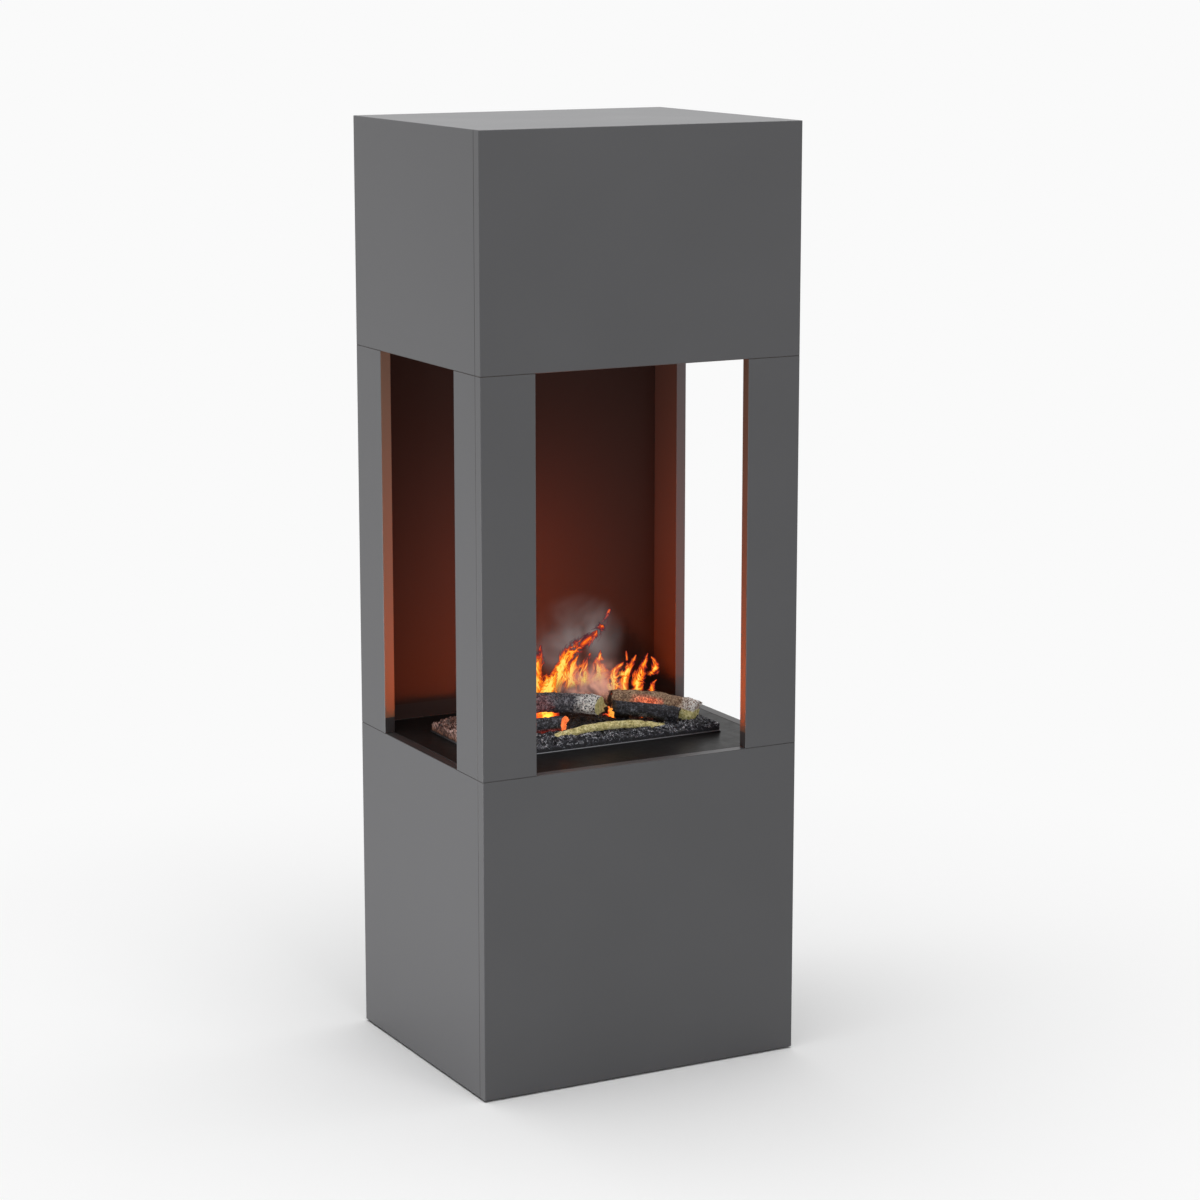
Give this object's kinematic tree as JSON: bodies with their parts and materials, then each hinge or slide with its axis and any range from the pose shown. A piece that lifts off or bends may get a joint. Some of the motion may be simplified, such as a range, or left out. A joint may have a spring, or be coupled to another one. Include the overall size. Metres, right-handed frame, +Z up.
{
  "type": "water vapour fireplace",
  "caption": "Free-standing fireplace column with an open fire chamber on three sides, a lift-out bed of logs and embers, and a water vapour cassette below it.",
  "frame": {"origin": "on the floor under the middle of the column", "axes": "+Z up, -Y out of the front, +X to the right as seen from the front"},
  "size_m": [0.5, 0.408, 1.35],
  "materials": {
    "anthracite_lacquer": "anthracite satin lacquer on board",
    "raw_wood": "planed softwood",
    "black_hearth": "black satin lacquer on board",
    "black_steel": "black powder coat",
    "zinc_steel": "zinc plated",
    "steel_disc": "polished disc",
    "brass": "turned",
    "black_plastic": "matt",
    "grey_plastic": "matt",
    "white_plastic": "matt",
    "red_plastic": "gloss",
    "silver_plastic": "satin metallic",
    "red_window": "dark red clear",
    "felt_black": "matt",
    "circuit_green": "solder resist",
    "amber_lens": "clear amber",
    "smoke_tank": "smoked clear",
    "valve_rubber": "matt",
    "orange_float": "matt",
    "ember_coals": "moulded and painted resin",
    "log_upper_left": "charcoal bark with ash flecks",
    "log_lower_left": "charred",
    "log_right": "brown and olive bark",
    "log_charred": "charred",
    "log_glowing": "glowing orange",
    "log_cross": "charred bark",
    "log_rear": "brown bark",
    "bark_strip": "olive bark"
  },
  "bodies": {
    "cabinet": {"base_front_board": "anthracite_lacquer", "base_left_side": "anthracite_lacquer", "base_right_side": "anthracite_lacquer", "base_bottom_board": "anthracite_lacquer", "base_back_rail": "anthracite_lacquer", "base_battens": "raw_wood", "service_panel": "anthracite_lacquer", "service_screws": "zinc_steel", "mains_inlet": "black_plastic", "hearth_plate": "black_hearth", "floor_glides": "felt_black", "front_left_post": "anthracite_lacquer", "front_right_post": "anthracite_lacquer", "left_front_post": "anthracite_lacquer", "right_front_post": "anthracite_lacquer", "left_rear_post": "anthracite_lacquer", "right_rear_post": "anthracite_lacquer", "chamber_back_board": "anthracite_lacquer", "hood_front_board": "anthracite_lacquer", "hood_left_side": "anthracite_lacquer", "hood_right_side": "anthracite_lacquer", "hood_back_board": "anthracite_lacquer", "hood_top_board": "anthracite_lacquer", "hood_ceiling_board": "anthracite_lacquer", "joint_dowels": "raw_wood", "cassette_tub": "black_steel", "bay_partitions": "zinc_steel", "sump_tray": "white_plastic", "transducer_bodies": "brass", "transducer_discs": "steel_disc", "mist_duct": "black_plastic", "fan_housing": "black_plastic", "lamp_board": "circuit_green", "lamp_lens": "amber_lens", "power_supply": "black_plastic", "control_board": "circuit_green", "control_panel": "black_steel", "switch_body": "black_plastic", "receiver_window": "red_window", "mains_lead": "black_plastic", "lead_gland": "white_plastic"},
    "log_bed": {"bed_tray": "black_steel", "ember_bed": "ember_coals", "upper_left_log": "log_upper_left", "lower_left_log": "log_lower_left", "right_log": "log_right", "charred_log": "log_charred", "glowing_log": "log_glowing", "cross_log": "log_cross", "rear_log": "log_rear", "bark_strip": "bark_strip"},
    "tank": {"water_tank": "smoke_tank"},
    "cap": {"tank_cap": "black_plastic"},
    "valve": {"valve_plunger": "valve_rubber"},
    "fan": {"fan_rotor": "grey_plastic"},
    "power_rocker": {"rocker": "red_plastic"},
    "up_button": {"button_up": "silver_plastic"},
    "down_button": {"button_down": "silver_plastic"},
    "float": {"float_ring": "orange_float"}
  },
  "joints": [
    {"name": "log_bed_lift", "type": "slide", "parent": "cabinet", "child": "log_bed", "axis": [0, 0, 1], "range_m": [0, 0.3]},
    {"name": "tank_lift", "type": "slide", "parent": "cabinet", "child": "tank", "axis": [0, 0, 1], "range_m": [0, 0.15]},
    {"name": "cap_turn", "type": "hinge", "parent": "tank", "child": "cap", "pos_m": [0, -0.046, 0.344], "axis": [0, 0, -1], "range_deg": [0, 90]},
    {"name": "valve_drop", "type": "slide", "parent": "cap", "child": "valve", "axis": [0, 0, 1], "range_m": [-0.00285, 0]},
    {"name": "fan_spin", "type": "hinge", "parent": "cabinet", "child": "fan", "pos_m": [-0.1405, 0.04475, 0.3995], "axis": [1, 0, 0], "continuous": true},
    {"name": "rocker_tilt", "type": "hinge", "parent": "cabinet", "child": "power_rocker", "pos_m": [0.1545, -0.058, 0.45], "axis": [1, 0, 0], "range_deg": [0, 20]},
    {"name": "up_press", "type": "slide", "parent": "cabinet", "child": "up_button", "axis": [0, 0, -1], "range_m": [0, 0.0012], "stiffness_N_per_m": 300, "springref_m": -0.001},
    {"name": "down_press", "type": "slide", "parent": "cabinet", "child": "down_button", "axis": [0, 0, -1], "range_m": [0, 0.0012], "stiffness_N_per_m": 300, "springref_m": -0.001},
    {"name": "float_rise", "type": "slide", "parent": "cabinet", "child": "float", "axis": [0, 0, 1], "range_m": [0, 0.008]}
  ],
  "couplings": [
    {"joint": "tank_lift", "follows": "log_bed_lift", "ratio": 0.5},
    {"joint": "valve_drop", "follows": "log_bed_lift", "ratio": -0.0095}
  ]
}
